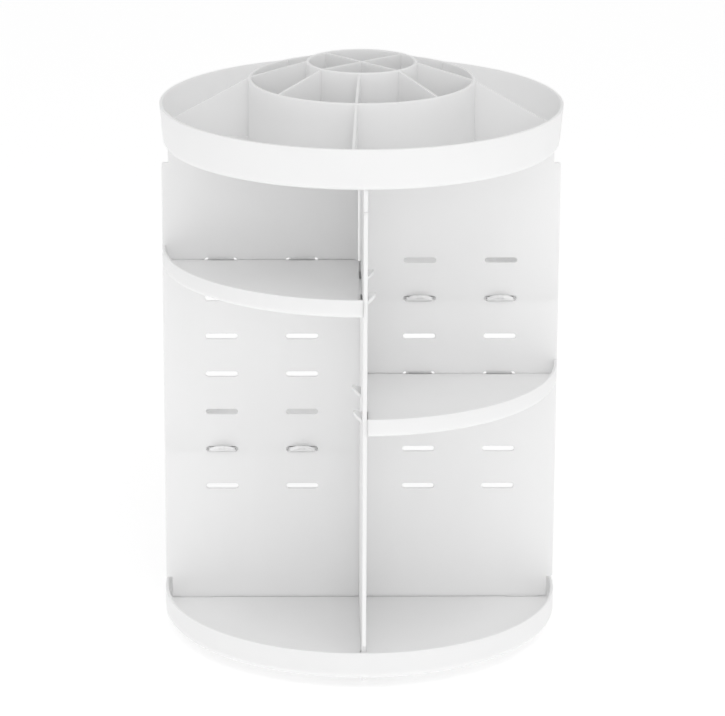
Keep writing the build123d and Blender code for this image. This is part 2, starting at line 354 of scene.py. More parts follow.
def soft_rubber(name, finish):
    """Matt rubber with a fine pebble and a little dust."""
    material, graph = new_material(name)
    place = object_position(graph)
    cells = {"Vector": place, "Scale": 1500.0}
    pebble = graph.node("ShaderNodeTexVoronoi", {"feature": "F1"}, cells, "Distance")
    dust = noise(graph, place, 220.0, 4.0)
    colour = clouded(graph, dust, finish.rubber_colour, 0.25)
    finish_material(graph, {
        "Base Color": colour,
        "Roughness": 0.72 + (dust - 0.5) * 0.2,
        "Specular IOR Level": 0.35,
        "Normal": bump(graph, pebble, 0.03 * MM),
    })
    return material


def pale_floor(name, stage):
    """A plain pale floor with barely uneven paint, lit a little from below."""
    material, graph = new_material(name)
    paint = noise(graph, object_position(graph), 1.5)
    colour = clouded(graph, paint, stage.floor_colour, 0.01)
    finish_material(graph, {
        "Base Color": colour,
        "Roughness": 0.9,
        "Specular IOR Level": 0.1,
        "Emission Color": (1.0, 1.0, 1.0, 1.0),
        "Emission Strength": stage.floor_glow,
    })
    return material


# ------------------------------------------------------------------------------- meshes


def new_object(name, mesh):
    """Link a new object that sits at the origin."""
    made = bpy.data.objects.new(name, mesh)
    bpy.context.scene.collection.objects.link(made)
    return made


def outline_object(name, points):
    """A closed outline of edges from (x, y, corner radius) points; each radius is an attribute."""
    count = len(points)
    mesh = bpy.data.meshes.new(name)
    edges = [(i, (i + 1) % count) for i in range(count)]
    mesh.from_pydata([(x, y, 0.0) for x, y, _ in points], edges, [])
    corner = mesh.attributes.new("corner", "FLOAT", "POINT")
    corner.data.foreach_set("value", [radius for _, _, radius in points])
    return new_object(name, mesh)


def merged_copy(name, node):
    """A copy of a CAD node with its loose triangles merged into whole flat faces."""
    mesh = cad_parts[node].data.copy()
    mesh.name = name
    mesh.materials.clear()
    work = bmesh.new()
    work.from_mesh(mesh)
    bmesh.ops.remove_doubles(work, verts=work.verts, dist=WELD)
    bmesh.ops.dissolve_degenerate(work, edges=work.edges, dist=WELD)
    bmesh.ops.dissolve_limit(work, angle_limit=FLAT_ANGLE, verts=work.verts, edges=work.edges)
    for face in work.faces:
        face.smooth = True
    work.to_mesh(mesh)
    work.free()
    return new_object(name, mesh)


def round_edges(piece, width):
    """Round a piece's sharp edges, and keep its flat faces flat in the shading."""
    bevel = piece.modifiers.new("Edge Round", "BEVEL")
    bevel.width = width
    bevel.segments = 2
    bevel.limit_method = "ANGLE"
    bevel.angle_limit = ROUNDED_ANGLE
    bevel.use_clamp_overlap = False
    bevel.harden_normals = True


def settle(piece, material, place=None, keep_shading=False):
    """Turn a piece and its modifiers into one plain mesh without loose edges, moved by a matrix."""
    keep_shading = keep_shading or "Edge Round" in piece.modifiers
    bpy.context.view_layer.update()
    graph = bpy.context.evaluated_depsgraph_get()
    mesh = bpy.data.meshes.new_from_object(piece.evaluated_get(graph))
    piece.modifiers.clear()
    old = piece.data
    piece.data = mesh
    bpy.data.meshes.remove(old)
    mesh.name = piece.name
    if place:
        mesh.transform(place)
    mesh.materials.clear()
    mesh.materials.append(material)
    work = bmesh.new()
    work.from_mesh(mesh)
    bmesh.ops.delete(work, geom=[edge for edge in work.edges if edge.is_wire], context="EDGES")
    work.to_mesh(mesh)
    work.free()
    for name in ("corner", "share"):
        if name in mesh.attributes:
            mesh.attributes.remove(mesh.attributes[name])
    if not keep_shading:
        mesh.shade_smooth()
        mesh.set_sharp_from_angle(angle=SHARP_ANGLE)


def fit_to_body(piece, body, slot, *nodes):
    """Let a finished piece ride on a body and stand for its CAD nodes."""
    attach(piece, body)
    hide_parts(*nodes)


# ------------------------------------------------------------------------------- geometry trees


def geometry_tree(name, sizes):
    """A geometry tree whose inputs are a Geometry, each size by its name, and a Material."""
    tree = bpy.data.node_groups.new(name, "GeometryNodeTree")
    graph = Graph(tree)
    kinds = {int: "NodeSocketInt", float: "NodeSocketFloat"}
    tree.interface.new_socket("Geometry", in_out="INPUT", socket_type="NodeSocketGeometry")
    for label, value in sizes.items():
        tree.interface.new_socket(label, in_out="INPUT", socket_type=kinds[type(value)])
    tree.interface.new_socket("Material", in_out="INPUT", socket_type="NodeSocketMaterial")
    tree.interface.new_socket("Geometry", in_out="OUTPUT", socket_type="NodeSocketGeometry")
    return graph, graph.node("NodeGroupInput")


def shaded(graph, geometry, smooth):
    """A geometry with all its faces shaded smooth or flat."""
    values = {"Geometry": geometry, "Shade Smooth": smooth}
    return graph.node("GeometryNodeSetShadeSmooth", None, values)


def joined(graph, parts):
    """Several geometries as one."""
    return graph.node("GeometryNodeJoinGeometry", None, {"Geometry": parts})


def welded(graph, geometry):
    """A geometry whose points that lie together are one point."""
    values = {"Geometry": geometry, "Distance": WELD}
    return graph.node("GeometryNodeMergeByDistance", None, values)


def moved(graph, geometry, x=0.0, y=0.0, z=0.0, turn=0.0):
    """A geometry turned about Z, then moved."""
    return graph.node("GeometryNodeTransform", None, {
        "Geometry": geometry, "Translation": graph.join(x, y, z),
        "Rotation": graph.join(0.0, 0.0, turn)})


def rectangle(graph, width, height, steps, rounding):
    """A closed rectangle round the origin with rounded corners."""
    flat = graph.node("GeometryNodeCurvePrimitiveQuadrilateral", {"mode": "RECTANGLE"},
                      {"Width": width, "Height": height})
    return filleted(graph, flat, steps, rounding)


def filleted(graph, curve, steps, rounding):
    """A curve with its corners rounded in some steps."""
    values = {"Curve": curve, "Count": steps, "Radius": rounding, "Limit Radius": True}
    return graph.node("GeometryNodeFilletCurve", {"mode": "POLY"}, values)


def named_value(graph, name):
    """A number that each point of the geometry holds."""
    return graph.node("GeometryNodeInputNamedAttribute", {"data_type": "FLOAT"}, {"Name": name})


def swept(graph, path, section, caps=False):
    """A section swept along a path."""
    values = {"Curve": path, "Profile Curve": section, "Fill Caps": caps}
    return graph.node("GeometryNodeCurveToMesh", None, values)


def finish_tree(graph, inputs, geometry):
    """End a tree in Realize Instances, Set Material and the group's output."""
    real = graph.node("GeometryNodeRealizeInstances", None, {"Geometry": geometry})
    values = {"Geometry": real, "Material": inputs.output("Material")}
    coated = graph.node("GeometryNodeSetMaterial", None, values)
    graph.node("NodeGroupOutput", None, {0: coated})


def add_tree(piece, graph, sizes, material):
    """Give a piece a geometry tree as a modifier, with its inputs set by their identifiers."""
    modifier = piece.modifiers.new(graph.tree.name, "NODES")
    modifier.node_group = graph.tree
    for socket in graph.tree.interface.items_tree:
        if socket.in_out == "INPUT" and socket.name in sizes:
            modifier[socket.identifier] = sizes[socket.name]
        elif socket.in_out == "INPUT" and socket.name == "Material":
            modifier[socket.identifier] = material


def rounded_outline(graph, given):
    """The piece's own edges as a closed curve, with each corner rounded by its own radius."""
    curve = graph.node("GeometryNodeMeshToCurve", None, {"Mesh": given})
    return filleted(graph, curve, given.output("Corner Steps"), named_value(graph, "corner"))


def turned(graph, outline, facets):
    """A solid turned about Z. In the outline X is the radius and Y the depth below the origin."""
    path_radius = 1.0
    path = graph.node("GeometryNodeCurvePrimitiveCircle", {"mode": "RADIUS"},
                      {"Resolution": facets, "Radius": path_radius})
    return welded(graph, swept(graph, path, moved(graph, outline, x=-path_radius)))


def spoke_dividers(graph, count, turn, inner, outer, foot, inner_top, outer_top, thickness,
                   edge_round):
    """Radial walls, repeated round Z, whose rounded upper edges slope from the inside out."""
    nominal = 10.0 * MM
    upper = graph.split(graph.node("GeometryNodeInputPosition"))[1] > 0.0
    section = rectangle(graph, thickness, nominal, 4, upper * edge_round)
    line = graph.node("GeometryNodeCurvePrimitiveLine", None,
                      {"Start": graph.join(inner, 0.0, 0.0), "End": graph.join(outer, 0.0, 0.0)})
    wall = swept(graph, line, section, True)
    x, y, z = graph.split(graph.node("GeometryNodeInputPosition"))
    share = (x - inner) / (outer - inner)
    top = inner_top + (outer_top - inner_top) * share
    raised = (z > 0.0) * (top + z - nominal / 2 - foot) + foot
    wall = graph.node("GeometryNodeSetPosition", None,
                      {"Geometry": wall, "Position": graph.join(x, y, raised)})
    return repeated(graph, wall, count, turn)


def repeated(graph, geometry, count, turn):
    """Copies of a geometry turned about Z, evenly spread, the first one by an angle."""
    spot = graph.node("GeometryNodeMeshLine", {"mode": "OFFSET"},
                      {"Count": count, "Offset": (0.0, 0.0, 0.0)})
    number = graph.node("GeometryNodeInputIndex")
    angle = turn + number * (math.tau / count)
    values = {"Points": spot, "Instance": geometry, "Rotation": graph.join(0.0, 0.0, angle)}
    return graph.node("GeometryNodeInstanceOnPoints", None, values)


def divided_tray_tree(sizes):
    """The top tray: a turned dish with two ring walls, joined to three sets of radial dividers."""
    graph, given = geometry_tree("Divided Tray", sizes)
    dish = turned(graph, rounded_outline(graph, given), given.output("Facets"))
    thickness = given.output("Divider Thickness")
    edge_share = 0.4        # rounding of a divider's upper edge, as a share of its thickness
    shared = {"foot": given.output("Divider Foot"), "thickness": thickness,
              "edge_round": thickness * edge_share}
    inner = spoke_dividers(
        graph, given.output("Inner Dividers"), given.output("Inner Turn"), 0.0 * thickness,
        given.output("Inner Ring"), inner_top=given.output("Inner Top"),
        outer_top=given.output("Inner Top"), **shared)
    middle = spoke_dividers(
        graph, given.output("Middle Dividers"), given.output("Turn"), given.output("Inner Ring"),
        given.output("Middle Ring"), inner_top=given.output("Inner Top"),
        outer_top=given.output("Middle Top"), **shared)
    outer = spoke_dividers(
        graph, given.output("Outer Dividers"), given.output("Turn"), given.output("Middle Ring"),
        given.output("Outer Wall"), inner_top=given.output("Middle Top"),
        outer_top=given.output("Outer Low Top"), **shared)
    walls = joined(graph, [inner, middle, outer])
    whole = graph.node("GeometryNodeMeshBoolean", {"operation": "UNION", "solver": "EXACT"},
                       {"Mesh": [dish, walls], "Self Intersection": True})
    finish_tree(graph, given, whole)
    return graph


def slotted_panel_tree(sizes):
    """A flat panel in its own outline, with columns of round-ended slots on both sides."""
    graph, given = geometry_tree("Slotted Panel", sizes)
    outline = rounded_outline(graph, given)
    nearly_half = 0.499
    slot = rectangle(graph, given.output("Slot Width"), given.output("Slot Height"),
                     given.output("Slot Steps"), given.output("Slot Height") * nearly_half)
    slot = graph.node("GeometryNodeReverseCurve", None, {"Curve": slot})
    curves = [outline]
    for column in ("Inner Column", "Outer Column"):
        for side in (-1.0, 1.0):
            highest = graph.join(given.output(column) * side, given.output("Top Row"), 0.0)
            line = graph.node("GeometryNodeMeshLine", {"mode": "OFFSET"}, {
                "Count": given.output("Rows"), "Start Location": highest,
                "Offset": graph.join(0.0, -given.output("Row Pitch"), 0.0)})
            curves.append(graph.node("GeometryNodeInstanceOnPoints", None,
                                     {"Points": line, "Instance": slot}))
    curves = graph.node("GeometryNodeRealizeInstances", None, {"Geometry": joined(graph, curves)})
    edge_round, half = given.output("Edge Round"), given.output("Thickness") * 0.5
    edges = swept(graph, curves, rounded_edge(graph, edge_round, half))
    away = graph.node("ShaderNodeVectorMath", {"operation": "SCALE"},
                      {"Vector": graph.node("GeometryNodeInputNormal"), "Scale": -edge_round})
    inset = graph.node("GeometryNodeSetPosition", None, {"Geometry": curves, "Offset": away})
    sheet = graph.node("GeometryNodeFillCurve", {"mode": "TRIANGLES"}, {"Curve": inset})
    front = moved(graph, sheet, z=half)
    back = graph.node("GeometryNodeFlipFaces", None, {"Mesh": moved(graph, sheet, z=-half)})
    faces = [shaded(graph, edges, True), shaded(graph, front, False), shaded(graph, back, False)]
    finish_tree(graph, given, welded(graph, joined(graph, faces)))
    return graph


def rounded_edge(graph, edge_round, half):
    """The open profile of a panel's edge, from one face to the other, rounded at both."""
    line = graph.node("GeometryNodeCurvePrimitiveLine")
    line = graph.node("GeometryNodeResampleCurve", {"mode": "COUNT"}, {"Curve": line, "Count": 6})
    number = graph.node("GeometryNodeInputIndex")
    second = number > 2.5
    step = number + second * (5.0 - number * 2.0)
    angle = step * (QUARTER / 2)
    inwards = edge_round * (graph.maths("SINE", angle) - 1.0)
    across = half - edge_round * (graph.maths("COSINE", angle) * -1.0 + 1.0)
    place = graph.join(inwards, (second * 2.0 - 1.0) * across, 0.0)
    return graph.node("GeometryNodeSetPosition", None, {"Geometry": line, "Position": place})


def hook(graph, given):
    """A tongue along +X whose half-moon end turns up beyond the panel it hooks behind."""
    root, bend = given.output("Hook Root"), given.output("Hook Bend")
    reach, half_width = given.output("Hook Reach"), given.output("Hook Width") * 0.5
    sheet = graph.node("GeometryNodeMeshGrid", None,
                       {"Size X": 2.0, "Size Y": 2.0, "Vertices X": 18, "Vertices Y": 7})
    u, v, _ = graph.split(graph.node("GeometryNodeInputPosition"))
    along = graph.maths("SINE", u * QUARTER) * 0.5 + 0.5
    nose = 0.985        # share of the reach, so that the tip keeps some width
    x = along * (root + bend + reach * nose) - root
    past = graph.maths("MAXIMUM", x - bend, 0.0)
    arc_radius = (half_width * half_width + reach * reach) / (reach * 2.0)
    from_middle = past + arc_radius - reach
    width = graph.maths("SQRT", arc_radius * arc_radius - from_middle * from_middle)
    rise = past * (given.output("Hook Rise") / reach)
    sheet = graph.node("GeometryNodeSetPosition", None,
                       {"Geometry": sheet, "Position": graph.join(x, v * width, rise)})
    return thickened(graph, sheet, given.output("Hook Thickness"))


def thickened(graph, sheet, thickness):
    """A closed slab that stands on a sheet."""
    raised = graph.node("GeometryNodeExtrudeMesh", {"mode": "FACES"},
                        {"Mesh": sheet, "Offset": graph.join(0.0, 0.0, 1.0),
                         "Offset Scale": thickness, "Individual": False})
    flipped = graph.node("GeometryNodeFlipFaces", None, {"Mesh": sheet})
    return welded(graph, joined(graph, [raised, flipped]))


def quarter_shelf_tree(sizes):
    """A quarter tray between two panels, with hooks along both straight edges."""
    graph, given = geometry_tree("Quarter Shelf", sizes)
    section = rounded_outline(graph, given)
    path = graph.node("GeometryNodeCurveArc", {"mode": "RADIUS"},
                      {"Resolution": given.output("Facets"), "Radius": given.output("Radius"),
                       "Start Angle": 0.0, "Sweep Angle": QUARTER})
    path = graph.node("GeometryNodeStoreNamedAttribute", {"data_type": "FLOAT", "domain": "POINT"},
                      {"Geometry": path, "Name": "share",
                       "Value": graph.node("GeometryNodeSplineParameter")})
    tray = swept(graph, path, moved(graph, section, x=-given.output("Radius")), True)
    x, y, z = graph.split(graph.node("GeometryNodeInputPosition"))
    radius = radius_from_axis(graph, x, y)
    first = graph.maths("ARCSINE", given.output("Start Gap") / radius)
    last = QUARTER - graph.maths("ARCSINE", given.output("End Gap") / radius)
    angle = first + named_value(graph, "share") * (last - first)
    fitted = graph.join(radius * graph.maths("COSINE", angle),
                        radius * graph.maths("SINE", angle), z)
    tray = graph.node("GeometryNodeSetPosition", None, {"Geometry": tray, "Position": fitted})
    tongue, underside = hook(graph, given), given.output("Underside")
    parts = [tray]
    for place in ("Near Place", "Far Place"):
        spot = given.output(place)
        parts.append(moved(graph, tongue, spot, given.output("Start Gap"), underside, -QUARTER))
        parts.append(moved(graph, tongue, given.output("End Gap"), spot, underside, math.pi))
    shelf = shaded(graph, joined(graph, parts), True)
    finish_tree(graph, given, moved(graph, shelf, turn=given.output("Turn")))
    return graph


def base_tray_tree(sizes):
    """The turned base tray, with a slot through its floor for each foot tab."""
    graph, given = geometry_tree("Base Tray", sizes)
    dish = turned(graph, rounded_outline(graph, given), given.output("Facets"))
    cutters = []
    for number in range(4):
        along_y = number % 2
        hole = graph.node("GeometryNodeMeshCube", None, {
            "Size": graph.join(given.output("Slot Length"), given.output("Slot Width"),
                               given.output("Slot Depth"))})
        hole = moved(graph, hole, given.output("Slot Place"), z=given.output("Slot Level"))
        aside = given.output("Deep Panel Offset") * float(along_y)
        cutters.append(moved(graph, hole, aside, turn=number * QUARTER))
    cut = graph.node("GeometryNodeMeshBoolean", {"operation": "DIFFERENCE", "solver": "EXACT"},
                     {"Mesh 1": dish, "Mesh 2": cutters})
    finish_tree(graph, given, cut)
    return graph


def turned_ring_tree(sizes):
    """Turned parts, such as the rubber pads, repeated in a ring round the turning axis."""
    graph, given = geometry_tree("Turned Ring", sizes)
    part = turned(graph, rounded_outline(graph, given), given.output("Facets"))
    part = moved(graph, part, given.output("Ring Radius"), z=given.output("Height"))
    finish_tree(graph, given, repeated(graph, part, given.output("Count"), given.output("Turn")))
    return graph


def ball_ring_tree(sizes):
    """The balls of the bearing, spread round the race."""
    graph, given = geometry_tree("Ball Ring", sizes)
    ball = graph.node("GeometryNodeMeshUVSphere", None,
                      {"Segments": given.output("Facets"), "Rings": given.output("Rings"),
                       "Radius": given.output("Ball Diameter") * 0.5})
    ball = moved(graph, ball, given.output("Race Radius"), z=given.output("Height"))
    finish_tree(graph, given, repeated(graph, ball, given.output("Count"), given.output("Turn")))
    return graph


# ------------------------------------------------------------------------------- settings


def length(label, description, default):
    """A length setting."""
    return FloatProperty(name=label, description=description, default=default, min=0.0,
                         precision=5, subtype="DISTANCE", unit="LENGTH")


def colour(label, description, default):
    """A colour setting."""
    return FloatVectorProperty(name=label, description=description, default=default, min=0.0,
                               max=1.0, size=3, subtype="COLOR")


def power(label, description, default):
    """The power of a light."""
    return FloatProperty(name=label, description=description, default=default, min=0.0,
                         subtype="POWER", unit="POWER")


def count(label, description, default):
    """A setting that counts pieces."""
    return IntProperty(name=label, description=description, default=default, min=1)


def share(label, description, default):
    """A setting from 0 to 1."""
    return FloatProperty(name=label, description=description, default=default, min=0.0, max=1.0,
                         subtype="FACTOR")


def strength(label, description, default):
    """A plain positive setting."""
    return FloatProperty(name=label, description=description, default=default, min=0.0)


def angle(label, description, default):
    """An angle setting."""
    return FloatProperty(name=label, description=description, default=default, subtype="ANGLE",
                         unit="ROTATION")


def deep_panel_middle():
    """How far the middle of the deep panel stands from the turning axis."""
    return (low("deep_panel").x + high("deep_panel").x) / 2


tray_underside = high("wide_panel").z


class TopTraySettings(bpy.types.PropertyGroup):
    """Sizes of the top tray, its rings and its dividers."""

    rim_radius: length("Rim Radius", "Outside of the outer rim", high("top_tray").x)
    underside: length("Underside", "Table to the underside, which lies on the panels",
                      tray_underside)
    wall: length("Wall", "Thickness of the outer wall and of the rings", 1.8 * MM)
    wall_height: length("Wall Height", "Underside to the outer rim", 23.0 * MM)
    draft: length("Draft", "How much narrower the outer wall is at its foot", 2.1 * MM)
    lower_corner: length("Lower Corner", "Rounding under the outer wall", 3.0 * MM)
    floor: length("Floor", "Thickness of the floor", 2.0 * MM)
    middle_ring: length("Middle Ring", "Outside radius of the middle ring", 63.0 * MM)
    middle_height: length("Middle Height", "Underside to the middle rim", 36.3 * MM)
    inner_ring: length("Inner Ring", "Outside radius of the inner ring", 30.9 * MM)
    inner_height: length("Inner Height", "Underside to the inner rim",
                         high("top_tray").z - tray_underside)
    outer_drop: length("Outer Drop", "Outer rim to the low end of an outer divider", 13.6 * MM)
    divider: length("Divider", "Thickness of the dividers", 1.5 * MM)
    divider_sink: length("Divider Sink", "Rims to the tops of the dividers", 0.4 * MM)
    inner_dividers: count("Inner Dividers", "Dividers inside the inner ring", 4)
    middle_dividers: count("Middle Dividers", "Dividers between the two rings", 8)
    outer_dividers: count("Outer Dividers", "Dividers between middle ring and outer wall", 4)
    turn: angle("Turn", "How the tray is turned on the panels", math.radians(-3.6))
    rim_round: length("Rim Round", "Rounding of the rims", 0.55 * MM)
    foot_round: length("Foot Round", "Rounding where walls meet the floor", 0.8 * MM)
    rib_radius: length("Rib Radius", "Turning axis to the locating rib", 90.0 * MM)
    rib_thickness: length("Rib Thickness", "Thickness of the locating rib", 2.0 * MM)


class PanelSettings(bpy.types.PropertyGroup):
    """Sizes of the two crossed panels."""

    half_width: length("Half Width", "Turning axis to a long edge", high("wide_panel").x)
    thickness: length("Thickness", "Thickness of a panel",
                      high("wide_panel").y - low("wide_panel").y)
    top: length("Top", "Table to the top edge", tray_underside)
    floor: length("Floor", "Table to the floor of the base tray", 14.0 * MM)
    lap_play: length("Lap Play", "Play of one panel in the other one's lap slot", 1.4 * MM)
    lap_height: length("Lap Height", "Floor to where the panels meet", 180.0 * MM)
    notch_width: length("Notch Width", "Step in the corners, across", 3.6 * MM)
    notch_height: length("Notch Height", "Step in the corners, upwards", 12.2 * MM)
    corner: length("Corner", "Rounding of the outer corners", 1.5 * MM)
    tab_width: length("Tab Width", "Width of a foot tab", 18.0 * MM)
    tab_place: length("Tab Place", "Turning axis to the middle of a foot tab", 94.5 * MM)
    tab_corner: length("Tab Corner", "Rounding of a foot tab's end", 3.0 * MM)
    slot_width: length("Slot Width", "Width of a hook slot", 18.2 * MM)
    slot_height: length("Slot Height", "Height of a hook slot", 3.0 * MM)
    inner_column: length("Inner Column", "Turning axis to the inner column of slots", 33.2 * MM)
    outer_column: length("Outer Column", "Turning axis to the outer column of slots", 78.9 * MM)
    rows: count("Rows", "Rows of slots", 7)
    row_pitch: length("Row Pitch", "One row of slots to the next", 22.4 * MM)
    top_row_drop: length("Top Row Drop", "Top edge to the highest row of slots", 68.8 * MM)
    edge_round: length("Edge Round", "Rounding of the moulded edges", 0.3 * MM)
    rib_room: length("Rib Room", "Room round the top tray's locating rib", 0.5 * MM)


class ShelfSettings(bpy.types.PropertyGroup):
    """Sizes of the four shelf trays and their hooks."""

    radius: length("Radius", "Outside of the round wall", -low("shelf_tray_front_left").x)
    floor: length("Floor", "Thickness of the floor and of the hooks", 2.0 * MM)
    rim_height: length("Rim Height", "Underside to the rim", 10.1 * MM)
    wall: length("Wall", "Thickness of the round wall", 1.7 * MM)
    lower_corner: length("Lower Corner", "Rounding under the round wall", 2.5 * MM)
    inner_end: length("Inner End", "Turning axis to the cut-off corner", 4.0 * MM)
    hook_width: length("Hook Width", "Width of a hook", 15.0 * MM)
    hook_root: length("Hook Root", "How far a hook reaches into the floor", 1.0 * MM)
    hook_gap: length("Hook Gap", "Panel to where a hook turns up", 0.2 * MM)
    hook_reach: length("Hook Reach", "Reach of the half moon behind the panel", 4.6 * MM)
    hook_rise: length("Hook Rise", "How far the half moon turns up", 3.0 * MM)


class BaseTraySettings(bpy.types.PropertyGroup):
    """Sizes of the base tray."""

    radius: length("Radius", "Outside of the rim", high("base_tray").x)
    floor: length("Floor", "Thickness of the floor", 2.4 * MM)
    wall: length("Wall", "Thickness of the rim and of the skirt", 1.8 * MM)
    lower_corner: length("Lower Corner", "Rounding of the skirt's lower edge", 4.0 * MM)
    skirt_lift: length("Skirt Lift", "Table to the skirt's lower edge", 7.0 * MM)
    tab_clearance: length("Tab Clearance", "Room round a foot tab in its slot", 0.5 * MM)
    race_radius: length("Race Radius", "Turning axis to the balls", 52.0 * MM)
    race_rib_width: length("Race Rib Width", "Width of the rib that runs on the balls", 9.0 * MM)
    race_clearance: length("Race Clearance", "Ball to groove", 0.15 * MM)
    groove_depth: length("Groove Depth", "Depth of the groove in the rib", 1.0 * MM)
    boss_radius: length("Boss Radius", "Outside of the pivot boss", 7.0 * MM)
    screw_hole: length("Screw Hole", "Radius of the screw's hole", 1.55 * MM)


class TurntableSettings(bpy.types.PropertyGroup):
    """Sizes of the bearing's balls and of the rubber pads."""

    balls: count("Balls", "Balls in the bearing", 12)
    ball_diameter: length("Ball Diameter", "Diameter of a ball",
                          high("bearing_ball_01").z - low("bearing_ball_01").z)
    pads: count("Pads", "Rubber pads under the foot plate", 4)
    pad_grooves: count("Pad Grooves", "Grooves round the face of a pad", 3)
    groove_depth: length("Groove Depth", "Depth of a pad's grooves", 0.3 * MM)
    pad_round: length("Pad Round", "Rounding of a pad's edge", 0.3 * MM)
    plate_round: length("Plate Round", "Rounding of the foot plate's edges", 0.15 * MM)
    cage_round: length("Cage Round", "Rounding of the ball cage's edges", 0.2 * MM)
    metal_round: length("Metal Round", "Rounding of the screw's and the washer's edges", 0.12 * MM)


class FinishSettings(bpy.types.PropertyGroup):
    """Colours and surfaces of the caddy's materials."""

    colour: colour("White Plastic", "Colour of the white mouldings", (0.88, 0.88, 0.88))
    roughness: share("Roughness", "Roughness of the white plastic", 0.42)
    translucency: share("Translucency", "Share of the light that scatters inside the plastic", 1.0)
    scatter: length("Scatter", "How far light scatters inside the plastic", 2.5 * MM)
    cloudiness: share("Cloudiness", "How much darker the flow clouds are", 0.022)
    flow_scale: strength("Flow Scale", "Flow clouds per metre", 22.0)
    grain_size: length("Grain Size", "Size of the moulded grain", 0.45 * MM)
    grain_depth: length("Grain Depth", "Depth of the moulded grain", 0.012 * MM)
    mark_depth: length("Mark Depth", "Depth of the ejector marks", 0.06 * MM)
    natural_colour: colour("Natural Plastic", "Colour of the ball cage", (0.70, 0.69, 0.62))
    steel_colour: colour("Steel", "Colour of the balls", (0.66, 0.66, 0.67))
    zinc_colour: colour("Zinc", "Colour of the screw and washer", (0.62, 0.64, 0.66))
    rubber_colour: colour("Rubber", "Colour of the pads", (0.30, 0.31, 0.32))


class StageSettings(bpy.types.PropertyGroup):
    """The floor, the light and the camera."""

    floor_colour: colour("Floor", "Colour of the floor", (0.97, 0.97, 0.97))
    floor_glow: strength("Floor Glow", "Light that the floor gives by itself", 0.34)
    ambient: strength("Ambient", "Strength of the even white light", 0.65)
    softness: strength("Softness", "View gamma, which lifts the dark tones", 1.2)
    left_light: power("Left Light", "Power of the soft box on the left of the front", 0.3)
    right_light: power("Right Light", "Power of the soft box on the right of the front", 1.5)
    front_light: power("Front Light", "Power of the soft box straight in front", 6.0)
    upper_light: power("Upper Light", "Power of the soft box above the front", 4.5)
    camera_distance: length("Camera Distance", "Level distance from the axis", 2.038)
    camera_aside: length("Camera Aside", "Level distance to the side of the axis", 1.15 * MM)
    camera_height: length("Camera Height", "Table to the lens", 0.7883)
    azimuth: angle("Azimuth", "How far the view is turned about the caddy", math.radians(1.01))
    tilt: angle("Tilt", "How far the camera looks down", math.radians(17.18))
    roll: angle("Roll", "How far the camera leans", 0.0044)
    lens: strength("Lens", "Focal length in millimetres", 186.4)


class CaddySettings(bpy.types.PropertyGroup):
    """Every group of settings."""

    top_tray: PointerProperty(type=TopTraySettings)
    panels: PointerProperty(type=PanelSettings)
    shelf_trays: PointerProperty(type=ShelfSettings)
    base_tray: PointerProperty(type=BaseTraySettings)
    turntable: PointerProperty(type=TurntableSettings)
    finish: PointerProperty(type=FinishSettings)
    stage: PointerProperty(type=StageSettings)


# ------------------------------------------------------------------------------- operators


class CADDY_OT_top_tray(bpy.types.Operator):
    """Build the divided top tray"""

    bl_idname = "caddy.top_tray"
    bl_label = "Top Tray"
    bl_options = {"REGISTER", "UNDO"}

    def execute(self, context):
        """Turn the tray's outline, add its dividers and let it ride on the top body."""
        settings = context.scene.caddy
        size = settings.top_tray
        tray = outline_object("top_tray_moulding", self.outline(size))
        inside = size.wall / 2
        sizes = {
            "Facets": 256, "Corner Steps": 5,
            "Divider Thickness": size.divider,
            "Divider Foot": size.underside + size.floor / 2,
            "Inner Ring": size.inner_ring - inside,
            "Middle Ring": size.middle_ring - inside,
            "Outer Wall": size.rim_radius - size.draft - inside,
            "Inner Top": size.underside + size.inner_height - size.divider_sink,
            "Middle Top": size.underside + size.middle_height - size.divider_sink,
            "Outer Low Top": size.underside + size.wall_height - size.outer_drop,
            "Inner Dividers": size.inner_dividers,
            "Middle Dividers": size.middle_dividers,
            "Outer Dividers": size.outer_dividers,
            "Turn": size.turn,
            "Inner Turn": size.turn + math.pi / size.inner_dividers,
        }
        marks = (8, 75.0 * MM)
        material = moulded_plastic("White Plastic Top Tray", settings.finish, EVEN, marks)
        add_tree(tray, divided_tray_tree(sizes), sizes, material)
        settle(tray, material)
        fit_to_body(tray, "top", "white_plastic", "top_tray")
        return {"FINISHED"}

    def outline(self, size):
        """Half of the tray's section, clockwise from the axis, as (radius, -height, rounding)."""
        floor = size.underside + size.floor
        rim = size.underside + size.wall_height
        foot = size.rim_radius - size.draft
        points = [(0.0, floor, 0.0)]
        rings = ((size.inner_ring, size.inner_height), (size.middle_ring, size.middle_height))
        for ring, height in rings:
            top = size.underside + height
            points += [
                (ring - size.wall, floor, size.foot_round), (ring - size.wall, top, size.rim_round),
                (ring, top, size.rim_round), (ring, floor, size.foot_round)]
        points += [
            (foot - size.wall, floor, size.foot_round),
            (size.rim_radius - size.wall, rim, size.rim_round),
            (size.rim_radius, rim, size.rim_round), (foot, size.underside, size.lower_corner)]
        rib_low = low("top_tray").z
        rib_outside = size.rib_radius + size.rib_thickness / 2
        rib_inside = size.rib_radius - size.rib_thickness / 2
        points += [
            (rib_outside, size.underside, size.foot_round), (rib_outside, rib_low, size.rim_round),
            (rib_inside, rib_low, size.rim_round), (rib_inside, size.underside, size.foot_round),
            (0.0, size.underside, 0.0)]
        return [(radius, -height, rounding) for radius, height, rounding in points]


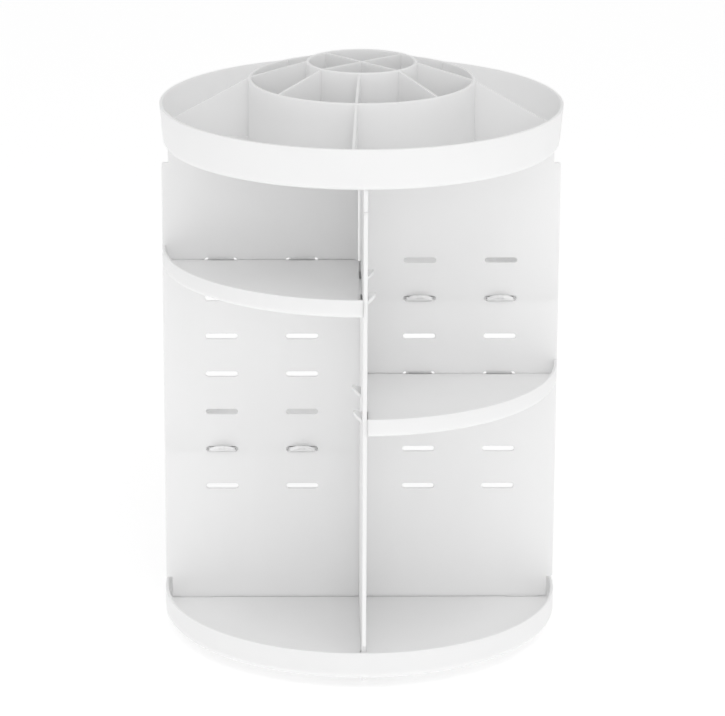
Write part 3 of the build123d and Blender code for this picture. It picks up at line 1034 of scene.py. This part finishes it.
class CADDY_OT_panels(bpy.types.Operator):
    """Build the two crossed, slotted panels"""

    bl_idname = "caddy.panels"
    bl_label = "Crossed Panels"
    bl_options = {"REGISTER", "UNDO"}

    def execute(self, context):
        """Cut both panels from their outlines and let them ride on the turntable."""
        settings = context.scene.caddy
        size = settings.panels
        sizes = {
            "Corner Steps": 6, "Slot Steps": 9,
            "Thickness": size.thickness, "Edge Round": size.edge_round,
            "Slot Width": size.slot_width, "Slot Height": size.slot_height,
            "Inner Column": size.inner_column, "Outer Column": size.outer_column,
            "Rows": size.rows, "Row Pitch": size.row_pitch,
            "Top Row": size.top - size.top_row_drop,
        }
        tree = slotted_panel_tree(sizes)
        upwards = (1.0, 1.0, 0.35)
        material = moulded_plastic("White Plastic Panels", settings.finish, upwards)
        upright = Matrix.Rotation(QUARTER, 4, "X")
        sideways = Matrix.Rotation(QUARTER, 4, "Z") @ upright
        places = {
            "wide_panel": upright,
            "deep_panel": Matrix.Translation((deep_panel_middle(), 0.0, 0.0)) @ sideways,
        }
        for node, place in places.items():
            panel = outline_object(node + "_moulding", self.outline(settings, node))
            add_tree(panel, tree, sizes, material)
            settle(panel, material, place, keep_shading=True)
            fit_to_body(panel, "turntable", "white_plastic", node)
        return {"FINISHED"}

    def outline(self, settings, node):
        """A panel's outline, anticlockwise, as (place across, height, rounding)."""
        size, tray = settings.panels, settings.top_tray
        small = size.edge_round
        half_lap = (size.thickness + size.lap_play) / 2
        lap = size.floor + size.lap_height
        inside = size.half_width - size.notch_width
        tab_low = low("wide_panel").z
        tab_start = size.tab_place - size.tab_width / 2
        tab_end = size.tab_place + size.tab_width / 2
        rib = tray.rib_thickness / 2 + size.rib_room
        rib_low = low("top_tray").z - size.rib_room
        points = [
            (tab_start, size.floor, small),
            (tab_start, tab_low, size.tab_corner),
            (tab_end, tab_low, size.tab_corner),
            (tab_end, size.floor, small),
            (inside, size.floor, small),
            (inside, size.floor + size.notch_height, small),
            (size.half_width, size.floor + size.notch_height, size.corner),
            (size.half_width, size.top - size.notch_height, size.corner),
            (inside, size.top - size.notch_height, small),
            (inside, size.top, small),
            (tray.rib_radius + rib, size.top, small),
            (tray.rib_radius + rib, rib_low, small),
            (tray.rib_radius - rib, rib_low, small),
            (tray.rib_radius - rib, size.top, small),
        ]
        if node == "wide_panel":
            points += [(half_lap, size.top, small), (half_lap, lap, small)]
        else:
            points = [(half_lap, lap, small), (half_lap, size.floor, small)] + points
        return points + [(-x, y, rounding) for x, y, rounding in reversed(points)]


class CADDY_OT_shelf_trays(bpy.types.Operator):
    """Build the four hook-in shelf trays"""

    bl_idname = "caddy.shelf_trays"
    bl_label = "Shelf Trays"
    bl_options = {"REGISTER", "UNDO"}

    def execute(self, context):
        """Sweep each shelf tray through its quarter and add its hooks."""
        settings = context.scene.caddy
        size = settings.shelf_trays
        panels = settings.panels
        marks = (12, 70.0 * MM)
        material = moulded_plastic("White Plastic Shelf Trays", settings.finish, EVEN, marks)
        half = panels.thickness / 2
        left = half - deep_panel_middle()
        right = half + deep_panel_middle()
        quarters = {
            "back_right": (0, half, right),
            "back_left": (1, left, half),
            "front_left": (2, half, left),
            "front_right": (3, right, half),
        }
        for corner, (quarter, start_gap, end_gap) in quarters.items():
            node = "shelf_tray_" + corner
            underside = high(node).z - size.rim_height
            sizes = {
                "Facets": 65, "Corner Steps": 5, "Radius": size.radius, "Underside": underside,
                "Start Gap": start_gap, "End Gap": end_gap,
                "Near Place": panels.inner_column, "Far Place": panels.outer_column,
                "Hook Width": size.hook_width, "Hook Root": size.hook_root,
                "Hook Bend": panels.thickness + size.hook_gap, "Hook Reach": size.hook_reach,
                "Hook Rise": size.hook_rise, "Hook Thickness": size.floor,
                "Turn": quarter * QUARTER,
            }
            shelf = outline_object(node + "_moulding", self.outline(settings, underside))
            add_tree(shelf, quarter_shelf_tree(sizes), sizes, material)
            round_edges(shelf, panels.edge_round)
            settle(shelf, material)
            fit_to_body(shelf, "turntable", "white_plastic", node)
        return {"FINISHED"}

    def outline(self, settings, underside):
        """A shelf's section, clockwise from its inner end, as (radius, -height, rounding)."""
        size = settings.shelf_trays
        rim_round = settings.top_tray.rim_round
        foot_round = settings.top_tray.foot_round
        floor = underside + size.floor
        rim = underside + size.rim_height
        points = [
            (size.inner_end, underside, 0.0), (size.inner_end, floor, 0.0),
            (size.radius - size.wall, floor, foot_round), (size.radius - size.wall, rim, rim_round),
            (size.radius, rim, rim_round), (size.radius, underside, size.lower_corner)]
        return [(radius, -height, rounding) for radius, height, rounding in points]


class CADDY_OT_base_tray(bpy.types.Operator):
    """Build the round base tray"""

    bl_idname = "caddy.base_tray"
    bl_label = "Base Tray"
    bl_options = {"REGISTER", "UNDO"}

    def execute(self, context):
        """Turn the base tray, cut the slots for the foot tabs and let it ride on the turntable."""
        settings = context.scene.caddy
        size = settings.base_tray
        panels = settings.panels
        marks = (8, 85.0 * MM)
        material = moulded_plastic("White Plastic Base Tray", settings.finish, EVEN, marks)
        sizes = {
            "Facets": 256, "Corner Steps": 5,
            "Slot Length": panels.tab_width + 2 * size.tab_clearance,
            "Slot Width": panels.thickness + 2 * size.tab_clearance,
            "Slot Depth": 4 * size.floor,
            "Slot Place": panels.tab_place,
            "Slot Level": panels.floor,
            "Deep Panel Offset": deep_panel_middle(),
        }
        tray = outline_object("base_tray_moulding", self.outline(settings))
        add_tree(tray, base_tray_tree(sizes), sizes, material)
        settle(tray, material)
        fit_to_body(tray, "turntable", "white_plastic", "base_tray")
        return {"FINISHED"}

    def outline(self, settings):
        """Half of the tray's section, clockwise from the axis, as (radius, -height, rounding)."""
        size = settings.base_tray
        soft = settings.panels.edge_round
        rim_round = settings.top_tray.rim_round
        floor = settings.panels.floor
        underside = floor - size.floor
        rim = high("base_tray").z
        boss_low = high("pivot_washer").z
        skirt_inside = size.radius - size.lower_corner - size.wall
        rib_low, groove = self.groove(settings)
        rib_outside = size.race_radius + size.race_rib_width / 2
        rib_inside = size.race_radius - size.race_rib_width / 2
        hole_end = high("pivot_screw").z
        points = [
            (0.0, floor, 0.0), (size.radius - size.wall, floor, settings.top_tray.foot_round),
            (size.radius - size.wall, rim, rim_round), (size.radius, rim, rim_round),
            (size.radius, size.skirt_lift, size.lower_corner),
            (skirt_inside, size.skirt_lift, soft),
            (skirt_inside, underside, soft), (rib_outside, underside, soft),
            (rib_outside, rib_low, soft), *groove, (rib_inside, rib_low, soft),
            (rib_inside, underside, soft), (size.boss_radius, underside, soft),
            (size.boss_radius, boss_low, soft), (size.screw_hole, boss_low, 0.0),
            (size.screw_hole, hole_end, 0.0), (0.0, hole_end, 0.0)]
        return [(radius, -height, rounding) for radius, height, rounding in points]

    def groove(self, settings):
        """The race rib's lower face, and the points of its ball groove from the outside."""
        size = settings.base_tray
        ball = settings.turntable.ball_diameter / 2
        centre = (high("bearing_ball_01").z + low("bearing_ball_01").z) / 2
        groove_radius = ball + size.race_clearance
        rib_low = centre + groove_radius - size.groove_depth
        half_angle = math.acos((rib_low - centre) / groove_radius)
        steps = 8
        angles = [half_angle * (1.0 - 2.0 * step / steps) for step in range(steps + 1)]
        points = [(size.race_radius + groove_radius * math.sin(angle),
                   centre + groove_radius * math.cos(angle), 0.0) for angle in angles]
        return rib_low, points


class CADDY_OT_turntable(bpy.types.Operator):
    """Build the foot plate, the rubber pads, the ball bearing and the pivot"""

    bl_idname = "caddy.turntable"
    bl_label = "Turntable"
    bl_options = {"REGISTER", "UNDO"}

    def execute(self, context):
        """Build each group of the turntable on its own body."""
        settings = context.scene.caddy
        self.build_foot(settings)
        self.build_bearing(settings)
        self.build_pivot(settings)
        return {"FINISHED"}

    def build_foot(self, settings):
        """The foot plate and its grooved rubber pads."""
        size = settings.turntable
        marks = (6, 35.0 * MM)
        plastic = moulded_plastic("White Plastic Foot Plate", settings.finish, EVEN, marks)
        plate = merged_copy("foot_plate_moulding", "foot_plate")
        round_edges(plate, size.plate_round)
        settle(plate, plastic)
        fit_to_body(plate, "foot", "white_plastic", "foot_plate")
        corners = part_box("rubber_pad_1")
        middle = (corners[0] + corners[1]) / 2
        sizes = {
            "Facets": 72, "Corner Steps": 4, "Count": size.pads,
            "Ring Radius": math.hypot(middle.x, middle.y), "Height": 0.0,
            "Turn": math.atan2(middle.y, middle.x),
        }
        rubber = soft_rubber("Rubber Pads", settings.finish)
        pads = outline_object("rubber_pads", self.pad_outline(size, *corners))
        add_tree(pads, turned_ring_tree(sizes), sizes, rubber)
        settle(pads, rubber)
        nodes = [f"rubber_pad_{number + 1}" for number in range(size.pads)]
        fit_to_body(pads, "foot", "rubber_pad", *nodes)

    def pad_outline(self, size, lowest, highest):
        """A pad's section, clockwise from the axis, with grooves in its lower face."""
        radius = (highest.x - lowest.x) / 2
        top = highest.z
        soft = size.pad_round
        points = [(0.0, top, 0.0), (radius, top, soft), (radius, 0.0, soft)]
        pitch = radius / (size.pad_grooves + 1)
        width = pitch / 3
        for number in range(size.pad_grooves, 0, -1):
            place = number * pitch
            depth, fine = size.groove_depth, soft / 3
            points += [(place + width / 2, 0.0, fine), (place + width / 3, depth, fine),
                       (place - width / 3, depth, fine), (place - width / 2, 0.0, fine)]
        points.append((0.0, 0.0, 0.0))
        return [(across, -height, rounding) for across, height, rounding in points]

    def build_bearing(self, settings):
        """The ball cage and the balls."""
        size = settings.turntable
        natural = natural_plastic("Natural Plastic Cage", settings.finish)
        cage = merged_copy("ball_cage_moulding", "ball_cage")
        round_edges(cage, size.cage_round)
        settle(cage, natural)
        fit_to_body(cage, "bearing", "natural_plastic", "ball_cage")
        middle = (low("bearing_ball_01") + high("bearing_ball_01")) / 2
        sizes = {
            "Count": size.balls, "Facets": 32, "Rings": 16,
            "Race Radius": math.hypot(middle.x, middle.y),
            "Ball Diameter": size.ball_diameter, "Height": middle.z,
            "Turn": math.atan2(middle.y, middle.x),
        }
        steel = polished_steel("Steel Balls", settings.finish)
        balls = new_object("bearing_balls", bpy.data.meshes.new("bearing_balls"))
        add_tree(balls, ball_ring_tree(sizes), sizes, steel)
        settle(balls, steel)
        nodes = [f"bearing_ball_{number + 1:02d}" for number in range(size.balls)]
        fit_to_body(balls, "bearing", "steel_ball", *nodes)

    def build_pivot(self, settings):
        """The screw and the washer that hold the base tray down on the foot plate."""
        zinc = zinc_plate("Zinc Plated Steel", settings.finish)
        for node in ("pivot_screw", "pivot_washer"):
            part = merged_copy(node + "_metal", node)
            round_edges(part, settings.turntable.metal_round)
            settle(part, zinc)
            fit_to_body(part, "turntable", "zinc_steel", node)


class CADDY_OT_stage(bpy.types.Operator):
    """Build the floor, the soft light and the camera"""

    bl_idname = "caddy.stage"
    bl_label = "Stage"
    bl_options = {"REGISTER", "UNDO"}

    def execute(self, context):
        """Set the floor, the surround, the soft boxes, the camera and the tones."""
        stage = context.scene.caddy.stage
        self.build_floor(stage)
        self.build_light(stage)
        self.build_camera(stage)
        context.scene.view_settings.view_transform = "Standard"
        context.scene.view_settings.gamma = stage.softness
        return {"FINISHED"}

    def build_floor(self, stage):
        """A wide round floor at the table's height."""
        mesh = bpy.data.meshes.new("floor")
        work = bmesh.new()
        bmesh.ops.create_circle(work, cap_ends=True, segments=96, radius=FLOOR_RADIUS)
        work.to_mesh(mesh)
        work.free()
        floor = new_object("floor", mesh)
        mesh.materials.append(pale_floor("Pale Floor", stage))

    def build_light(self, stage):
        """An even white surround and four large soft boxes, all in front of the caddy."""
        world = bpy.data.worlds.new("Soft Studio")
        world.use_nodes = True
        bpy.context.scene.world = world
        graph = Graph(world.node_tree)
        values = {"Color": (1.0, 1.0, 1.0, 1.0), "Strength": stage.ambient}
        surround = graph.node("ShaderNodeBackground", None, values)
        graph.node("ShaderNodeOutputWorld", None, {"Surface": surround})
        middle = Vector((0.0, 0.0, frame_box[1].z / 2))
        for name, spot in SOFT_BOX_PLACES.items():
            place = Vector(spot)
            box = bpy.data.lights.new(name, "AREA")
            box.shape = "DISK"
            box.size = SOFT_BOX_SIZE
            box.energy = getattr(stage, name)
            lamp = new_object(name, box)
            lamp.location = place
            lamp.rotation_euler = (middle - place).to_track_quat("-Z", "Y").to_euler()

    def build_camera(self, stage):
        """The camera, a little left of the front and above the top tray, looking down."""
        data = bpy.data.cameras.new("camera")
        data.lens = stage.lens
        data.sensor_width = 36.0
        data.clip_start = 0.05
        data.clip_end = 60.0
        camera = new_object("camera", data)
        turned_frame = Matrix.Rotation(-stage.azimuth, 4, "Z")
        spot = Vector((stage.camera_aside, -stage.camera_distance, stage.camera_height))
        spot = turned_frame @ spot
        tilted = Matrix.Rotation(QUARTER - stage.tilt, 4, "X")
        leaning = tilted @ Matrix.Rotation(stage.roll, 4, "Z")
        camera.matrix_world = Matrix.Translation(spot) @ turned_frame @ leaning
        bpy.context.scene.camera = camera


# ------------------------------------------------------------------------------- panel and main

BUILDERS = (
    CADDY_OT_top_tray,
    CADDY_OT_panels,
    CADDY_OT_shelf_trays,
    CADDY_OT_base_tray,
    CADDY_OT_turntable,
    CADDY_OT_stage,
)


class VIEW3D_PT_caddy(bpy.types.Panel):
    """The caddy's builders and settings in the sidebar of the 3D view"""

    bl_label = "Tool Storage Caddy"
    bl_space_type = "VIEW_3D"
    bl_region_type = "UI"
    bl_category = "Caddy"

    def draw(self, context):
        """List the builders, then every setting by its group."""
        for builder in BUILDERS:
            self.layout.operator(builder.bl_idname)
        settings = context.scene.caddy
        for group in CaddySettings.__annotations__:
            box = self.layout.box()
            for name in getattr(settings, group).__annotations__:
                box.prop(getattr(settings, group), name)


CLASSES = (
    TopTraySettings,
    PanelSettings,
    ShelfSettings,
    BaseTraySettings,
    TurntableSettings,
    FinishSettings,
    StageSettings,
    CaddySettings,
    *BUILDERS,
    VIEW3D_PT_caddy,
)


def register():
    """Register the classes and give each scene its settings."""
    for one in CLASSES:
        bpy.utils.register_class(one)
    bpy.types.Scene.caddy = PointerProperty(type=CaddySettings)


def unregister():
    """Undo register."""
    del bpy.types.Scene.caddy
    for one in reversed(CLASSES):
        bpy.utils.unregister_class(one)


def main():
    """Build every piece in order."""
    register()
    bpy.ops.caddy.top_tray()
    bpy.ops.caddy.panels()
    bpy.ops.caddy.shelf_trays()
    bpy.ops.caddy.base_tray()
    bpy.ops.caddy.turntable()
    bpy.ops.caddy.stage()


if __name__ == "__main__":
    main()
